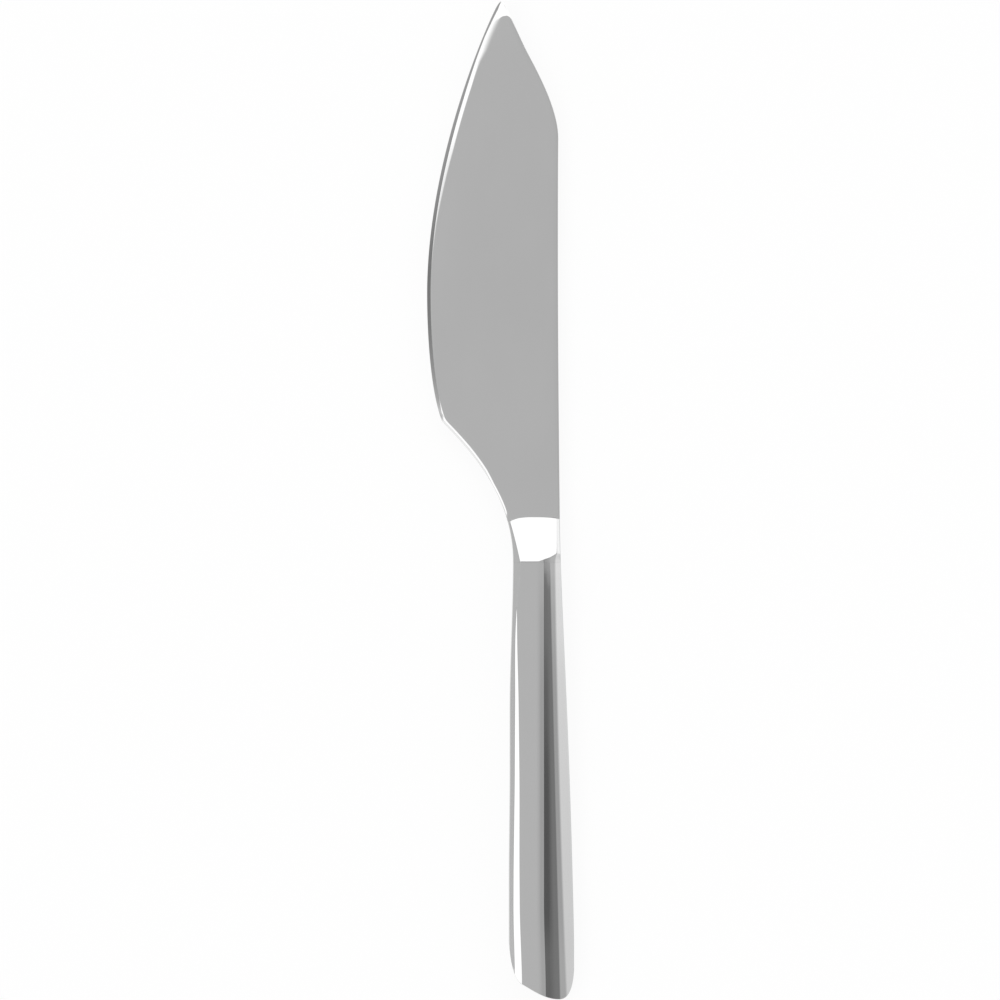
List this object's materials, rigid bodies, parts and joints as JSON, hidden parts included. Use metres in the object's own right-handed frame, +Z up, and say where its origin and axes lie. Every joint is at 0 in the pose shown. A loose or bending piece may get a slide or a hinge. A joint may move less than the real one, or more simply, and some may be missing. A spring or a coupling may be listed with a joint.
{
  "type": "cake knife",
  "caption": "Cake knife with a broad pointed steel blade, a sloping bolster and a faceted hollow steel handle, for cutting and lifting slices of cake.",
  "frame": {"origin": "middle of the underside of the knife's box, on the surface that the handle's back flat lies on", "axes": "+Z up from that surface, +Y from the butt to the tip, +X from the cutting edge's side to the spine's side"},
  "size_m": [0.039, 0.265, 0.0096],
  "materials": {
    "blade_steel": "polished",
    "handle_steel": "polished",
    "braze_alloy": "satin",
    "cement": "matte"
  },
  "bodies": {
    "root": {"blade": "blade_steel", "bolster": "handle_steel", "handle_front_shell": "handle_steel", "handle_back_shell": "handle_steel", "butt_plug": "handle_steel", "edge_side_seam": "braze_alloy", "spine_side_seam": "braze_alloy", "tang_cement": "cement"}
  },
  "joints": []
}
